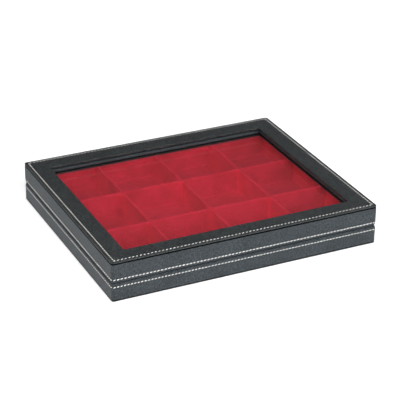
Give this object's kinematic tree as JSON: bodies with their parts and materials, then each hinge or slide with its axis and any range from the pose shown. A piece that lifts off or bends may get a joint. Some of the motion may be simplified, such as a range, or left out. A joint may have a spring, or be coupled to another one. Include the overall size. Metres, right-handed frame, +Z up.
{
  "type": "coin display case",
  "caption": "Flat rectangular case with a hinged window lid, stitched leatherette covering and a flocked tray of square compartments.",
  "frame": {"origin": "middle of the underside, on the felt pad's lower face", "axes": "+X along the long side, front (closing side) towards -Y, hinge line at +Y, +Z up"},
  "size_m": [0.3004, 0.2502, 0.0439],
  "materials": {
    "leatherette": "fine grained, satin",
    "thread": "twisted polyester thread",
    "fibreboard": "raw fibreboard",
    "greyboard": "raw board",
    "felt": "black felt",
    "velour": "flocked red velour",
    "liner": "fine grained, satin",
    "pane": "clear, polished",
    "nickel": "nickel plated",
    "magnet": "nickel plated block"
  },
  "bodies": {
    "base": {"base_front_wall": "fibreboard", "base_back_wall": "fibreboard", "base_left_wall": "fibreboard", "base_right_wall": "fibreboard", "base_bottom_panel": "fibreboard", "base_felt_pad": "felt", "base_cover": "leatherette", "base_stitching": "thread", "coin_insert": "velour", "closure_magnets": "magnet", "base_hinge_leaves": "nickel", "hinge_pins": "nickel", "base_hinge_screws": "nickel"},
    "lid": {"lid_front_wall": "fibreboard", "lid_back_wall": "fibreboard", "lid_left_wall": "fibreboard", "lid_right_wall": "fibreboard", "lid_side_cover": "leatherette", "lid_side_stitching": "thread", "lid_top_board": "greyboard", "lid_top_cover": "leatherette", "lid_top_stitching": "thread", "window_liner_front": "liner", "window_liner_back": "liner", "window_liner_left": "liner", "window_liner_right": "liner", "window_pane": "pane", "pane_strip_front": "liner", "pane_strip_back": "liner", "pane_strip_left": "liner", "pane_strip_right": "liner", "closure_plates": "magnet", "lid_hinge_leaves": "nickel", "lid_hinge_screws": "nickel"}
  },
  "joints": [
    {"name": "lid_hinge", "type": "hinge", "parent": "base", "child": "lid", "pos_m": [0, 0.1238, 0.02045], "axis": [-1, 0, 0], "range_deg": [0, 100]}
  ]
}
